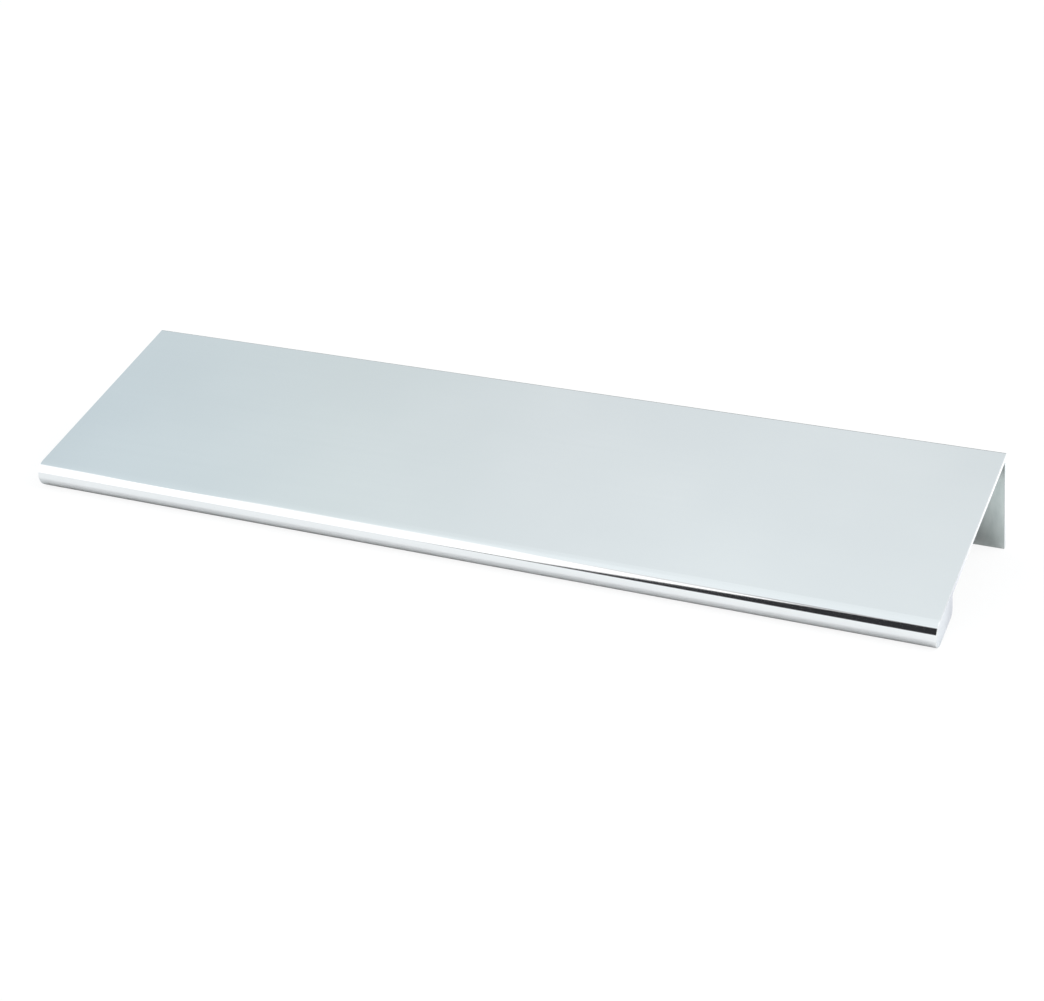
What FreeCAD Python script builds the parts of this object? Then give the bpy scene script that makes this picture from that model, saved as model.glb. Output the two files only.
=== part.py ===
import FreeCAD, Part
import math
import os
import Sketcher

# Handleless finger pull profile: one length of drawn aluminium section,
# cut square at both ends. A thin flat plate runs from a full-round gripping
# nose at the front to a thin flange at the back. The flange hangs behind a
# cupboard door or drawer front and is screwed to it through two holes.
#
# Section frame, before the profile is laid down: X along the length from the
# left end, Y from the front of the nose to the back of the flange, Z up from
# the flat top of the plate. All sizes are in millimetres.
#
# The finished solid lies the way it rests on a level surface: on the round
# front of the nose and on the inner lower edge of the flange, with the plate
# sloping down to the front. The origin is under the middle of its outline,
# on that surface.

doc = FreeCAD.newDocument("finger_pull_profile")

sheet = doc.addObject("Spreadsheet::Sheet", "Sizes")
SIZES = [
    ("profile_length", 150.0, "length of the cut piece"),
    ("overall_depth", 40.8, "front of the nose to the back of the flange"),
    ("flange_height", 18.3, "top of the plate to the lower edge of the flange"),
    ("plate_wall", 1.0, "thickness of the flat plate"),
    ("flange_wall", 1.0, "thickness of the rear flange"),
    ("nose_height", 4.5, "full-round front, its radius is half of this"),
    ("nose_depth", 8.9, "front of the nose to its rear face"),
    ("nose_rear_round", 1.2, "lower rear corner of the nose"),
    ("nose_root_fillet", 0.4, "rear face of the nose into the plate"),
    ("flange_root_fillet", 0.6, "plate into the flange, inside the bend"),
    ("back_corner_round", 0.3, "plate into the flange, outside the bend"),
    ("flange_edge_round", 0.2, "both lower edges of the flange"),
    ("end_chamfer", 0.1, "broken edge round both sawn ends"),
    ("screw_hole_diameter", 4.2, "clearance for a 4 mm pan head screw"),
    ("screw_hole_inset", 11.0, "sawn end to the centre of the near hole"),
    ("screw_hole_rise", 8.0, "lower edge of the flange to the hole centres"),
]
for row, (alias, value, note) in enumerate(SIZES, start=1):
    sheet.set("A%d" % row, alias)
    sheet.set("B%d" % row, str(value))
    sheet.set("C%d" % row, note)
    sheet.setAlias("B%d" % row, alias)
doc.recompute()


def size(alias):
    return float(sheet.get(alias))


def origin_plane(body, role):
    return next(f for f in body.Origin.OriginFeatures if f.Role == role)


def lengthwise_edges(shape, corners):
    """Names of the edges along X that run through the given (y, z) corners."""
    names = []
    for y, z in corners:
        for index, edge in enumerate(shape.Edges, start=1):
            start, end = (v.Point for v in (edge.Vertexes[0], edge.Vertexes[-1]))
            at_corner = all(
                abs(p.y - y) < 1e-4 and abs(p.z - z) < 1e-4 for p in (start, end))
            if at_corner and abs(start.x - end.x) > 1e-3:
                names.append("Edge%d" % index)
    if len(names) != len(corners):
        raise RuntimeError("expected %d edges, found %d" % (len(corners), len(names)))
    return names


body = doc.addObject("PartDesign::Body", "FingerPullProfile")
body.Label = "finger_pull_profile"

# Section of the profile with sharp corners, in the plane of the left end:
# sketch x is depth, sketch y is height.
section = body.newObject("Sketcher::SketchObject", "Section")
section.AttachmentSupport = [(origin_plane(body, "YZ_Plane"), "")]
section.MapMode = "FlatFace"

depth, height = size("overall_depth"), size("flange_height")
plate, flange = size("plate_wall"), size("flange_wall")
nose_high, nose_deep = size("nose_height"), size("nose_depth")
nose_radius = nose_high / 2.0


def at(x, y):
    return FreeCAD.Vector(x, y, 0)


outline = [
    at(nose_radius, 0),
    at(depth, 0),
    at(depth, -height),
    at(depth - flange, -height),
    at(depth - flange, -plate),
    at(nose_deep, -plate),
    at(nose_deep, -nose_high),
    at(nose_radius, -nose_high),
]
TOP, BACK, LOWER_EDGE, INNER, UNDERSIDE, NOSE_REAR, NOSE_UNDER = range(7)
for start, end in zip(outline[:-1], outline[1:]):
    section.addGeometry(Part.LineSegment(start, end), False)
front_circle = Part.Circle(
    at(nose_radius, -nose_radius), FreeCAD.Vector(0, 0, 1), nose_radius)
NOSE = section.addGeometry(
    Part.ArcOfCircle(front_circle, math.pi / 2, 3 * math.pi / 2), False)

for line in range(6):
    section.addConstraint(
        Sketcher.Constraint("Coincident", line, 2, line + 1, 1))
for line in (TOP, LOWER_EDGE, UNDERSIDE, NOSE_UNDER):
    section.addConstraint(Sketcher.Constraint("Horizontal", line))
for line in (BACK, INNER, NOSE_REAR):
    section.addConstraint(Sketcher.Constraint("Vertical", line))
# The round front runs from the top face, where it starts, to the underside.
section.addConstraint(Sketcher.Constraint("Tangent", NOSE, 1, TOP, 1))
section.addConstraint(Sketcher.Constraint("Tangent", NOSE_UNDER, 2, NOSE, 2))
section.addConstraint(Sketcher.Constraint("PointOnObject", TOP, 1, -1))


def driven(kind, geometry, value, name, expression):
    index = section.addConstraint(Sketcher.Constraint(kind, *geometry, value))
    section.renameConstraint(index, name)
    section.setExpression("Constraints." + name, expression)


driven("DistanceX", (-1, 1, NOSE, 3), nose_radius, "nose_centre",
       "Sizes.nose_height / 2")
driven("DistanceX", (-1, 1, TOP, 2), depth, "overall_depth", "Sizes.overall_depth")
driven("DistanceY", (BACK, 2, BACK, 1), height, "flange_height",
       "Sizes.flange_height")
driven("DistanceX", (LOWER_EDGE, 2, LOWER_EDGE, 1), flange, "flange_wall",
       "Sizes.flange_wall")
driven("DistanceY", (INNER, 2, -1, 1), plate, "plate_wall", "Sizes.plate_wall")
driven("DistanceX", (-1, 1, NOSE_REAR, 1), nose_deep, "nose_depth",
       "Sizes.nose_depth")
driven("DistanceY", (NOSE_REAR, 2, -1, 1), nose_high, "nose_height",
       "Sizes.nose_height")
doc.recompute()
if section.solve() != 0 or not section.FullyConstrained:
    raise RuntimeError("the section sketch is not fully constrained")

drawn = body.newObject("PartDesign::Pad", "DrawnLength")
drawn.Profile = section
drawn.setExpression("Length", "Sizes.profile_length")
doc.recompute()

# Corner radii of the section, as drawn edges along the whole length.
back_corner = body.newObject("PartDesign::Fillet", "BackCorner")
back_corner.Base = (drawn, lengthwise_edges(drawn.Shape, [(depth, 0)]))
back_corner.setExpression("Radius", "Sizes.back_corner_round")
doc.recompute()

flange_root = body.newObject("PartDesign::Fillet", "FlangeRoot")
flange_root.Base = (back_corner, lengthwise_edges(
    back_corner.Shape, [(depth - flange, -plate)]))
flange_root.setExpression("Radius", "Sizes.flange_root_fillet")
doc.recompute()

flange_edge = body.newObject("PartDesign::Fillet", "FlangeEdge")
flange_edge.Base = (flange_root, lengthwise_edges(
    flange_root.Shape, [(depth, -height), (depth - flange, -height)]))
flange_edge.setExpression("Radius", "Sizes.flange_edge_round")
doc.recompute()

nose_root = body.newObject("PartDesign::Fillet", "NoseRoot")
nose_root.Base = (flange_edge, lengthwise_edges(
    flange_edge.Shape, [(nose_deep, -plate)]))
nose_root.setExpression("Radius", "Sizes.nose_root_fillet")
doc.recompute()

nose_rear = body.newObject("PartDesign::Fillet", "NoseRear")
nose_rear.Base = (nose_root, lengthwise_edges(
    nose_root.Shape, [(nose_deep, -nose_high)]))
nose_rear.setExpression("Radius", "Sizes.nose_rear_round")
doc.recompute()

# The saw burr is taken off all round both ends.
end_names = []
for index, face in enumerate(nose_rear.Shape.Faces, start=1):
    square_to_length = isinstance(face.Surface, Part.Plane) and \
        abs(abs(face.Surface.Axis.x) - 1.0) < 1e-6
    if square_to_length:
        end_names.append("Face%d" % index)
if len(end_names) != 2:
    raise RuntimeError("the profile should have two sawn ends")
ends_broken = body.newObject("PartDesign::Chamfer", "EndsBroken")
ends_broken.Base = (nose_rear, end_names)
ends_broken.setExpression("Size", "Sizes.end_chamfer")
doc.recompute()

# Two screw holes square through the flange, drilled from its back face.
hole_plan = body.newObject("Sketcher::SketchObject", "ScrewHolePlan")
hole_plan.AttachmentSupport = [(origin_plane(body, "XZ_Plane"), "")]
hole_plan.MapMode = "FlatFace"
# The plane faces -Y, so a negative offset sets the sketch back to the flange.
hole_plan.setExpression("AttachmentOffset.Base.z", "-Sizes.overall_depth")
hole_radius = size("screw_hole_diameter") / 2.0
hole_height = size("screw_hole_rise") - height
near, far = size("screw_hole_inset"), size("profile_length") - size("screw_hole_inset")
for number, x in enumerate((near, far)):
    hole_plan.addGeometry(
        Part.Circle(at(x, hole_height), FreeCAD.Vector(0, 0, 1), hole_radius), False)
for number, (name, x, along) in enumerate((
        ("near_hole", near, "Sizes.screw_hole_inset"),
        ("far_hole", far, "Sizes.profile_length - Sizes.screw_hole_inset"))):
    for kind, suffix, geometry, value, expression in (
            ("DistanceX", "_along", (-1, 1, number, 3), x, along),
            ("DistanceY", "_down", (number, 3, -1, 1), -hole_height,
             "Sizes.flange_height - Sizes.screw_hole_rise"),
            ("Diameter", "_bore", (number,), 2.0 * hole_radius,
             "Sizes.screw_hole_diameter")):
        index = hole_plan.addConstraint(Sketcher.Constraint(kind, *geometry, value))
        hole_plan.renameConstraint(index, name + suffix)
        hole_plan.setExpression("Constraints." + name + suffix, expression)
doc.recompute()

before = ends_broken.Shape.Volume
holes = body.newObject("PartDesign::Pocket", "ScrewHoles")
holes.Profile = hole_plan
holes.Type = "Length"
# The cut starts on the back face and stops in the channel, just past the wall.
holes.setExpression("Length", "Sizes.flange_wall * 1.5")
holes.Reversed = True
doc.recompute()
if abs(before - holes.Shape.Volume) < 1e-3:
    holes.Reversed = False
    doc.recompute()
drilled = 2 * math.pi * hole_radius ** 2 * flange
if abs((before - holes.Shape.Volume) - drilled) > 0.01 * drilled:
    raise RuntimeError("the screw holes did not go through the flange")
body.Tip = holes
doc.recompute()

# Lay the profile down. The surface touches two rounds of the section: the
# nose, and the inner lower edge of the flange. The tilt turns their common
# lower tangent level.
edge_radius = size("flange_edge_round")
nose_centre = (nose_radius, -nose_radius)
edge_centre = (depth - flange + edge_radius, -height + edge_radius)
run = edge_centre[0] - nose_centre[0]
drop = nose_centre[1] - edge_centre[1]
tilt = math.atan2(drop, run) - math.asin(
    (nose_radius - edge_radius) / math.hypot(run, drop))


def laid(y, z):
    return (y * math.cos(tilt) - z * math.sin(tilt),
            y * math.sin(tilt) + z * math.cos(tilt))


floor = laid(*nose_centre)[1] - nose_radius
front = laid(*nose_centre)[0] - nose_radius
rear = laid(depth - edge_radius, -height + edge_radius)[0] + edge_radius
body.Placement = FreeCAD.Placement(
    FreeCAD.Vector(-size("profile_length") / 2.0, -(front + rear) / 2.0, -floor),
    FreeCAD.Rotation(FreeCAD.Vector(1, 0, 0), math.degrees(tilt)))
doc.recompute()

for item in doc.Objects:
    if any(state in ("Invalid", "Error") for state in item.State):
        raise RuntimeError("%s did not build: %s" % (item.Label, item.State))
shape = body.Shape
if shape.isNull() or not shape.isValid() or len(shape.Solids) != 1:
    raise RuntimeError("the profile is not one valid solid")

os.makedirs("parts", exist_ok=True)
shape.exportStep("parts/finger_pull_profile.step")
box = shape.BoundBox
print("tilt %.3f deg" % math.degrees(tilt))
print("box %.3f %.3f %.3f to %.3f %.3f %.3f" % (
    box.XMin, box.YMin, box.ZMin, box.XMax, box.YMax, box.ZMax))
print("volume %.1f mm3, mass in aluminium %.1f g" % (
    shape.Volume, shape.Volume * 2.7e-3))
for x in (near, far):
    point = body.Placement.multVec(FreeCAD.Vector(x, depth, hole_height))
    print("hole centre on the back face %.4f %.4f %.4f" % (point.x, point.y, point.z))
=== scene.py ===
import bpy
import math
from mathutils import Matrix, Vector

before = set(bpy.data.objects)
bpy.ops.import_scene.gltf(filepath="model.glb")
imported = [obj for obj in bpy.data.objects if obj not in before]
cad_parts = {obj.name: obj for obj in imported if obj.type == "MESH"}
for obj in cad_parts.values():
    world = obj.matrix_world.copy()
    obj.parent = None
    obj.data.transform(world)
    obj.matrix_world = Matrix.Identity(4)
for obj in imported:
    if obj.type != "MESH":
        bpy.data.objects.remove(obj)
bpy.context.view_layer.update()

# Finger pull profile in polished aluminium, lying on a pale surface. Lengths
# are in metres.
# The section is tilted about X in the row frame; TILT and SECTION_ORIGIN take
# a point back to the section's own axes: X along the length from the middle,
# Y from the front of the nose to the back, Z up from the flat top.
TILT = math.radians(19.9059)
SECTION_ORIGIN = (0.0, -0.0225843, 0.0035995)

# Sizes of the part that the materials follow, on the section's axes.
HALF_LENGTH = 0.075
NOSE_REAR_Y = 0.0089
FLANGE_INNER_Y = 0.0398
PLATE_UNDERSIDE_Z = -0.0010
HOLE_X = 0.064
HOLE_Z = -0.0103
HOLE_RADIUS = 0.0021

# How far back the flange's inner face mirrors the floor, in the row frame.
MIRRORED_FLOOR_BACK_Y = 0.0193

FLOOR_REACH = 3.0
FLOOR_DROP = 0.00002

scene = bpy.context.scene
scene.view_settings.view_transform = "Standard"


class Graph:
    """Short names for building a node tree."""

    def __init__(self, tree):
        self.tree = tree
        tree.nodes.clear()

    def node(self, kind, inputs=None, **settings):
        made = self.tree.nodes.new(kind)
        for name, value in settings.items():
            setattr(made, name, value)
        for key, value in (inputs or {}).items():
            self.feed(made.inputs[key], value)
        return made

    def feed(self, socket, value):
        if isinstance(value, bpy.types.NodeSocket):
            self.tree.links.new(value, socket)
        else:
            socket.default_value = value

    def math(self, operation, a, b=0.0):
        made = self.node("ShaderNodeMath", {0: a, 1: b}, operation=operation)
        return made.outputs[0]

    def plus(self, first, *others):
        for other in others:
            first = self.math("ADD", first, other)
        return first

    def minus(self, a, b):
        return self.math("SUBTRACT", a, b)

    def times(self, first, *others):
        for other in others:
            first = self.math("MULTIPLY", first, other)
        return first

    def size_of(self, value):
        return self.math("ABSOLUTE", value)

    def axes(self, vector):
        split = self.node("ShaderNodeSeparateXYZ", {0: vector})
        return split.outputs["X"], split.outputs["Y"], split.outputs["Z"]

    def smooth_step(self, value, low, high, to_low=0.0, to_high=1.0):
        made = self.node("ShaderNodeMapRange", {
            "Value": value, "From Min": low, "From Max": high,
            "To Min": to_low, "To Max": to_high},
            interpolation_type="SMOOTHSTEP")
        return made.outputs["Result"]

    def fade_out(self, value, low, high):
        return self.smooth_step(value, low, high, 1.0, 0.0)

    def ramp(self, value, stops):
        made = self.node("ShaderNodeValToRGB", {"Fac": value})
        points = made.color_ramp.elements
        while len(points) < len(stops):
            points.new(0.5)
        for point, (place, color) in zip(points, stops):
            point.position = place
            point.color = (*color, 1.0)
        return made.outputs["Color"]

    def mix(self, factor, a, b):
        made = self.node("ShaderNodeMix", data_type="RGBA")
        self.feed(made.inputs["Factor"], factor)
        self.feed(made.inputs["A"], a)
        self.feed(made.inputs["B"], b)
        return made.outputs["Result"]

    def mix_value(self, factor, a, b):
        made = self.node("ShaderNodeMix", data_type="FLOAT")
        self.feed(made.inputs["Factor"], factor)
        self.feed(made.inputs["A"], a)
        self.feed(made.inputs["B"], b)
        return made.outputs["Result"]

    def noise(self, vector, scale, detail=3.0, roughness=0.5):
        made = self.node("ShaderNodeTexNoise", {
            "Vector": vector, "Scale": scale, "Detail": detail,
            "Roughness": roughness})
        return made.outputs["Fac"]

    def stretched(self, vector, scale):
        made = self.node("ShaderNodeMapping", {"Vector": vector, "Scale": scale})
        return made.outputs["Vector"]


def rgb(r, g, b):
    return (r, g, b, 1.0)


# Polished aluminium: drawn faces with very faint lines along the length, sawn
# ends with fine cross marks, and drilled holes.
def polished_aluminium():
    material = bpy.data.materials.new("polished_aluminium_drawn")
    material.use_nodes = True
    g = Graph(material.node_tree)
    place = g.node("ShaderNodeTexCoord")
    from_origin = g.node("ShaderNodeVectorMath", {
        0: place.outputs["Object"], 1: SECTION_ORIGIN}, operation="SUBTRACT")
    section = g.node("ShaderNodeMapping", {
        "Vector": from_origin.outputs["Vector"],
        "Rotation": (-TILT, 0.0, 0.0)}).outputs["Vector"]
    at_x, at_y, at_z = g.axes(section)
    facing_x, _, facing_z = g.axes(place.outputs["Normal"])
    end_facing = g.size_of(facing_x)

    # Where each finish lies.
    sawn = g.smooth_step(end_facing, 0.90, 0.97)
    broken_edge = g.times(g.smooth_step(end_facing, 0.15, 0.45),
                          g.fade_out(end_facing, 0.90, 0.97))
    from_hole_x = g.minus(g.size_of(at_x), HOLE_X)
    from_hole_z = g.minus(at_z, HOLE_Z)
    from_hole = g.math("SQRT", g.plus(g.times(from_hole_x, from_hole_x),
                                      g.times(from_hole_z, from_hole_z)))
    drilled = g.fade_out(from_hole, HOLE_RADIUS + 0.00003,
                         HOLE_RADIUS + 0.00012)

    # Drawn faces.
    broad_lines = g.noise(g.stretched(section, (9.0, 900.0, 900.0)), 1.0, 2.0)
    fine_lines = g.noise(g.stretched(section, (40.0, 5200.0, 5200.0)), 1.0, 3.0)
    cloud = g.noise(section, 38.0, 2.0, 0.45)
    speck = g.noise(section, 2600.0, 2.0, 0.6)
    drawn_color = g.mix(g.smooth_step(cloud, 0.30, 0.70),
                        rgb(0.891, 0.901, 0.9085), rgb(0.919, 0.926, 0.931))
    drawn_color = g.mix(g.smooth_step(broad_lines, 0.35, 0.75, 0.0, 0.18),
                        drawn_color, rgb(0.882, 0.893, 0.902))
    drawn_rough = g.plus(0.035, g.times(broad_lines, 0.025),
                         g.times(fine_lines, 0.02), g.times(cloud, 0.02))

    # Inside the channel the metal is rougher, and its colour is painted shade:
    # darker and greener, with a faint mottle.
    channel = g.times(
        g.smooth_step(at_y, NOSE_REAR_Y - 0.0006, NOSE_REAR_Y - 0.0002),
        g.fade_out(at_y, FLANGE_INNER_Y + 0.0003, FLANGE_INNER_Y + 0.0007),
        g.fade_out(at_z, PLATE_UNDERSIDE_Z + 0.0002, PLATE_UNDERSIDE_Z + 0.0004))
    channel_mottle = g.noise(g.stretched(section, (420.0, 150.0, 110.0)), 1.0, 3.0, 0.55)
    channel_shade_color = g.mix(g.smooth_step(channel_mottle, 0.32, 0.68),
                       rgb(0.74, 0.785, 0.78), rgb(0.90, 0.925, 0.92))
    drawn_color = g.mix(channel, drawn_color, channel_shade_color)
    dull_rough = g.plus(0.11, g.times(channel_mottle, 0.10))
    drawn_rough = g.mix_value(channel, drawn_rough, dull_rough)

    # Sawn ends.
    along_cut = g.node("ShaderNodeMapping", {
        "Vector": section, "Rotation": (0.35, 0.0, 0.0)}).outputs["Vector"]
    saw_marks = g.node("ShaderNodeTexWave", {
        "Vector": along_cut, "Scale": 620.0, "Distortion": 3.5,
        "Detail": 3.0, "Detail Scale": 1.4},
        wave_type="BANDS", bands_direction="Z").outputs["Fac"]
    grain = g.noise(g.stretched(section, (800.0, 1400.0, 4200.0)), 1.0, 4.0, 0.6)
    sawn_color = g.mix(g.smooth_step(grain, 0.35, 0.70),
                       rgb(0.905, 0.905, 0.918), rgb(0.945, 0.945, 0.952))
    # Painted shade on the cut: a cool tint that darkens towards the rear of the
    # nose and fades out further back. The ramp spans 40 mm of depth.
    cut_painted_shade = g.ramp(g.times(at_y, 1.0 / 0.040), [
        (0.00, (0.95, 0.965, 0.98)),
        (0.11, (0.905, 0.92, 0.95)),
        (0.19, (0.76, 0.77, 0.81)),
        (0.28, (0.86, 0.865, 0.905)),
        (0.45, (0.96, 0.96, 0.975)),
        (1.00, (1.0, 1.0, 1.0))])
    sawn_color = g.node("ShaderNodeVectorMath", {0: sawn_color, 1: cut_painted_shade},
                        operation="MULTIPLY").outputs["Vector"]
    sawn_rough = g.plus(0.34, g.times(grain, 0.14))

    color = g.mix(sawn, drawn_color, sawn_color)
    # The broken edge is bright, with painted shade round the inside of the
    # flange.
    inside_flange = g.times(
        g.smooth_step(at_y, FLANGE_INNER_Y - 0.0023, FLANGE_INNER_Y - 0.0013),
        g.smooth_step(facing_z, 0.20, -0.10))
    edge_and_shade_color = g.mix(inside_flange, rgb(0.955, 0.955, 0.958),
                       rgb(0.50, 0.525, 0.525))
    color = g.mix(broken_edge, color, edge_and_shade_color)
    color = g.mix(drilled, color, rgb(0.82, 0.825, 0.835))
    rough = g.mix_value(sawn, drawn_rough, sawn_rough)
    rough = g.mix_value(broken_edge, rough, 0.24)
    rough = g.mix_value(drilled, rough, g.plus(0.26, g.times(speck, 0.12)))

    drawn_relief = g.plus(g.times(broad_lines, 0.5), g.times(fine_lines, 0.5))
    sawn_relief = g.plus(g.times(saw_marks, 0.7), g.times(grain, 0.5))
    relief = g.node("ShaderNodeBump", {
        "Height": g.mix_value(sawn, drawn_relief, sawn_relief),
        "Strength": g.mix_value(sawn, 0.009, 0.16),
        "Distance": 0.0001})
    surface = g.node("ShaderNodeBsdfPrincipled", {
        "Base Color": color, "Metallic": 1.0, "Roughness": rough,
        "Normal": relief.outputs["Normal"]})
    out = g.node("ShaderNodeOutputMaterial")
    g.feed(out.inputs["Surface"], surface.outputs["BSDF"])
    return material


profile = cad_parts["finger_pull_profile"]
profile.material_slots[0].material = polished_aluminium()


# Floor: white, with part of its white kept for what looks at it directly or in a
# reflection, so that the object's shadow stays soft. In a reflection the floor
# carries painted shade near the object and is whitest well clear of it.
def floor_white_painted_shade():
    material = bpy.data.materials.new("floor_white_painted_shade")
    material.use_nodes = True
    g = Graph(material.node_tree)
    path = g.node("ShaderNodeLightPath")
    looked_at = path.outputs["Is Camera Ray"]
    mirrored = g.math("MAXIMUM", path.outputs["Is Glossy Ray"],
                      path.outputs["Is Transmission Ray"])
    x, y, _ = g.axes(g.node("ShaderNodeTexCoord").outputs["Object"])
    across, along = g.size_of(y), g.size_of(x)
    behind = g.smooth_step(y, 0.027, 0.055)
    beside = g.times(g.smooth_step(along, HALF_LENGTH + 0.0005, 0.086),
                     g.smooth_step(y, -0.026, -0.018))
    clear_of_part = g.math("MAXIMUM", behind, beside)
    # Painted shade: other than to the camera, the floor is near black well in
    # front, towards the open side of the room.
    from_line = g.minus(x, g.times(y, 0.372))
    front_painted_shade = g.times(g.smooth_step(from_line, -0.005, 0.008),
                         g.fade_out(y, -0.064, -0.055))
    # Painted shade below the part, other than to the camera. At the front this
    # reaches a little farther out on the left half.
    front = g.minus(y, g.smooth_step(x, -0.020, 0.015, 0.0, 0.0004))
    below_part_shade = g.times(
        g.smooth_step(front, -0.0220, -0.0187),
        g.fade_out(y, 0.019, 0.023),
        g.fade_out(along, HALF_LENGTH - 0.0005, HALF_LENGTH + 0.0015))
    # The channel mirrors this painted shade: darkest deep inside, lighter near
    # the open ends.
    further_in = g.minus(MIRRORED_FLOOR_BACK_Y, across)
    towards_end = g.plus(along, g.times(further_in, 0.85))
    open_end = g.times(g.smooth_step(towards_end, 0.0678, 0.0808),
                       g.smooth_step(across, 0.0060, 0.0092))
    deep_shade_color = g.mix(open_end, rgb(0.08, 0.10, 0.097), rgb(0.76, 0.818, 0.81))
    shaded_floor_color = g.mix(below_part_shade, rgb(0.83, 0.83, 0.83), deep_shade_color)
    shaded_floor_color = g.mix(front_painted_shade, shaded_floor_color, rgb(0.03, 0.03, 0.034))
    paint = g.node("ShaderNodeBsdfDiffuse", {
        "Color": g.mix(looked_at, shaded_floor_color, rgb(0.15, 0.15, 0.15))})
    # Painted shade: the glow is dimmed right under the front of the nose.
    at_nose = g.times(g.smooth_step(front, -0.0238, -0.0226),
                      g.fade_out(front, -0.0205, -0.0195))
    glow_shaded = g.math("MAXIMUM", front_painted_shade, g.times(at_nose, 0.8))
    # Painted shade in reflections: the glow is lower near the part than well
    # clear of it.
    mirrored_glow = g.times(g.mix_value(clear_of_part, 0.15, 0.53),
                            g.minus(1.0, glow_shaded))
    strength = g.plus(g.times(looked_at, 0.88),
                      g.times(mirrored, mirrored_glow))
    glow = g.node("ShaderNodeEmission", {
        "Color": rgb(1.0, 1.0, 1.0), "Strength": strength})
    both = g.node("ShaderNodeAddShader", {
        0: paint.outputs[0], 1: glow.outputs[0]})
    out = g.node("ShaderNodeOutputMaterial")
    g.feed(out.inputs["Surface"], both.outputs[0])
    return material


floor_mesh = bpy.data.meshes.new("floor")
corners = [(-1, -1), (1, -1), (1, 1), (-1, 1)]
floor_mesh.from_pydata(
    [(FLOOR_REACH * x, FLOOR_REACH * y, 0) for x, y in corners],
    [], [(0, 1, 2, 3)])
floor = bpy.data.objects.new("floor", floor_mesh)
floor_mesh.materials.append(floor_white_painted_shade())
scene.collection.objects.link(floor)
floor.location.z = -FLOOR_DROP


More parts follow.
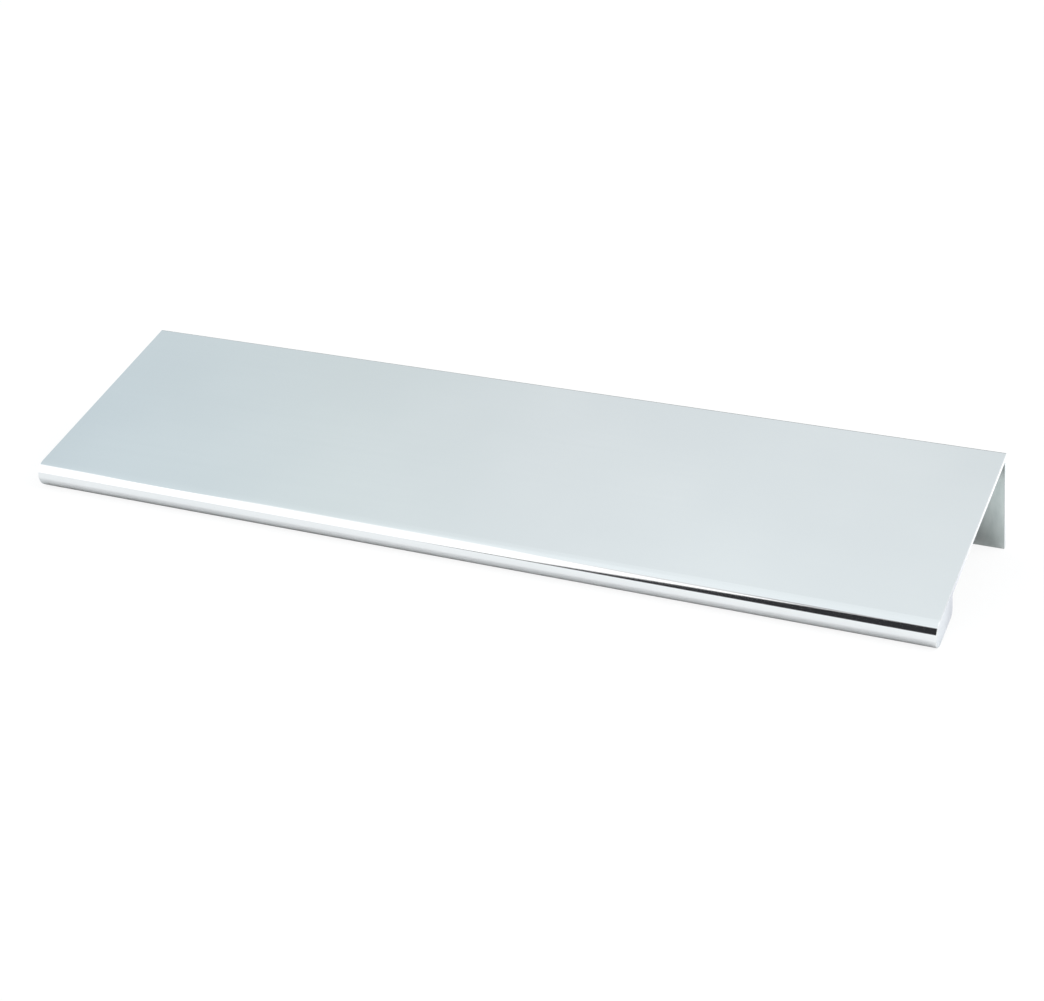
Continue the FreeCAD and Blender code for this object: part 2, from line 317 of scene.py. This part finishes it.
# The studio, by direction: a pale ceiling that brightens to the right, white
# walls of light to the front left and to the right, and the dark open side of
# the room in front, where the camera stands. At the back a pale panel lights
# the right end and a dark one draws the back edge. What looks straight at the
# studio sees plain white.
def studio():
    world = bpy.data.worlds.new("studio")
    world.use_nodes = True
    scene.world = world
    g = Graph(world.node_tree)
    direction = g.node("ShaderNodeTexCoord").outputs["Generated"]
    x, y, z = g.axes(direction)

    overhead = g.ramp(g.smooth_step(x, -1.0, 1.0), [
        (0.00, (0.44, 0.52, 0.56)),
        (0.108, (0.560, 0.640, 0.678)),
        (0.125, (0.605, 0.688, 0.724)),
        (0.175, (0.680, 0.750, 0.765)),
        (0.23, (0.757, 0.812, 0.831)),
        (0.29, (0.800, 0.857, 0.876)),
        (0.60, (0.81, 0.86, 0.878)),
        (1.00, (0.84, 0.88, 0.89))])
    # The ceiling brightens towards the front, and a faint glow lies over the
    # middle of the white wall.
    brighter = g.plus(g.smooth_step(y, 0.56, 0.34, 0.0, 0.155),
                      g.smooth_step(y, 0.36, -0.40, 0.0, 0.04))
    glow = g.times(g.smooth_step(y, 0.0, -0.28, 0.0, 0.065),
                   g.smooth_step(x, -0.46, -0.42),
                   g.fade_out(x, -0.34, -0.29))
    ceiling = g.node("ShaderNodeVectorMath", {
        0: overhead, "Scale": g.plus(0.92, brighter, glow)},
        operation="SCALE").outputs["Vector"]
    # The walls are less bright towards the far left and far right.
    wall = g.mix(g.smooth_step(g.size_of(x), 0.64, 0.90),
                 rgb(1.25, 1.25, 1.25), rgb(0.80, 0.82, 0.83))
    dark = rgb(0.030, 0.031, 0.034)
    ground = rgb(1.12, 1.12, 1.12)

    # The edge of the white wall leans, so it is a plane in the directions,
    # bent a little at its two ends.
    edge = g.plus(g.minus(x, g.times(y, 0.914)), g.times(z, 0.052),
                  g.smooth_step(x, -0.345, -0.301, 0.0444, 0.0),
                  g.smooth_step(x, -0.295, -0.23, 0.0, 0.028))
    # Low on the left the wall comes down to the floor along a steep line.
    below_wall = g.minus(z, g.times(x, 5.6))
    right_of_wall = g.times(g.smooth_step(edge, 0.5034, 0.5114),
                            g.fade_out(below_wall, 2.072, 2.190))
    right_wall = g.smooth_step(g.plus(x, g.times(y, 0.75)), -0.02, 0.02)
    open_side = g.times(right_of_wall, g.minus(1.0, right_wall))
    around = g.mix(open_side, wall, dark)
    around = g.mix(g.smooth_step(y, -0.15, 0.25), around, ceiling)
    back_panel = g.times(g.smooth_step(x, 0.36, 0.48),
                         g.smooth_step(y, 0.30, 0.42),
                         g.fade_out(z, 0.08, 0.22))
    around = g.mix(back_panel, around, rgb(1.02, 1.03, 1.03))
    back_left = g.times(g.smooth_step(y, 0.58, 0.72),
                        g.fade_out(x, -0.16, -0.02))
    around = g.mix(back_left, around, rgb(0.16, 0.172, 0.176))
    # The walls run softly into the ceiling on the left. On the right a rim
    # parts them, and it darkens to the right.
    softened = g.times(g.smooth_step(x, -0.53, -0.49),
                       g.fade_out(x, -0.40, -0.37), 0.132)
    softened = g.plus(softened, g.smooth_step(x, -0.560, -0.548, 0.07, 0.0))
    over_walls = g.minus(z, g.smooth_step(x, -0.25, -0.21, 0.718, 0.700))
    room = g.mix(g.smooth_step(over_walls, 0.0, g.plus(softened, 0.010)),
                 around, ceiling)
    rim_foot = g.plus(g.smooth_step(x, -0.37, -0.31, 0.695, 0.605),
                      g.smooth_step(x, -0.26, -0.215, 0.0, 0.065))
    rim = g.times(g.smooth_step(g.minus(z, rim_foot), -0.006, 0.006),
                  g.fade_out(over_walls, -0.003, 0.010),
                  g.smooth_step(x, -0.39, -0.35),
                  g.fade_out(y, -0.25, 0.1))
    rim_color = g.mix(g.smooth_step(x, -0.30, -0.23),
                      rgb(0.77, 0.79, 0.80), rgb(0.42, 0.43, 0.45))
    room = g.mix(rim, room, rim_color)
    room = g.mix(g.smooth_step(z, -0.010, 0.010), ground, room)

    path = g.node("ShaderNodeLightPath")
    seen = g.node("ShaderNodeBackground", {
        "Color": rgb(1.0, 1.0, 1.0), "Strength": 1.0})
    light = g.node("ShaderNodeBackground", {"Color": room, "Strength": 1.0})
    both = g.node("ShaderNodeMixShader", {
        0: path.outputs["Is Camera Ray"], 1: light.outputs[0],
        2: seen.outputs[0]})
    out = g.node("ShaderNodeOutputWorld")
    g.feed(out.inputs["Surface"], both.outputs[0])


studio()


def soft_lamp(name, place, aim, width, watts):
    lamp = bpy.data.lights.new(name, "AREA")
    lamp.shape = "SQUARE"
    lamp.size = width
    lamp.energy = watts
    holder = bpy.data.objects.new(name, lamp)
    holder.location = place
    holder.rotation_euler = (Vector(aim) - Vector(place)).to_track_quat(
        "-Z", "Y").to_euler()
    scene.collection.objects.link(holder)
    return holder


# High on the right, out of what the long faces mirror towards the camera.
soft_lamp("soft_key", (0.75, 0.05, 0.85), (0.0, 0.0, 0.0), 0.7, 3.2)

camera_data = bpy.data.cameras.new("photo_view")
camera_data.sensor_width = 36.0
camera_data.lens = 72.878
camera_data.clip_start = 0.01
camera = bpy.data.objects.new("photo_view", camera_data)
camera.location = (0.132219, -0.287045, 0.120336)
camera.rotation_euler = (1.214616, -0.010929, 0.428519)
scene.collection.objects.link(camera)
scene.camera = camera

bpy.context.view_layer.update()
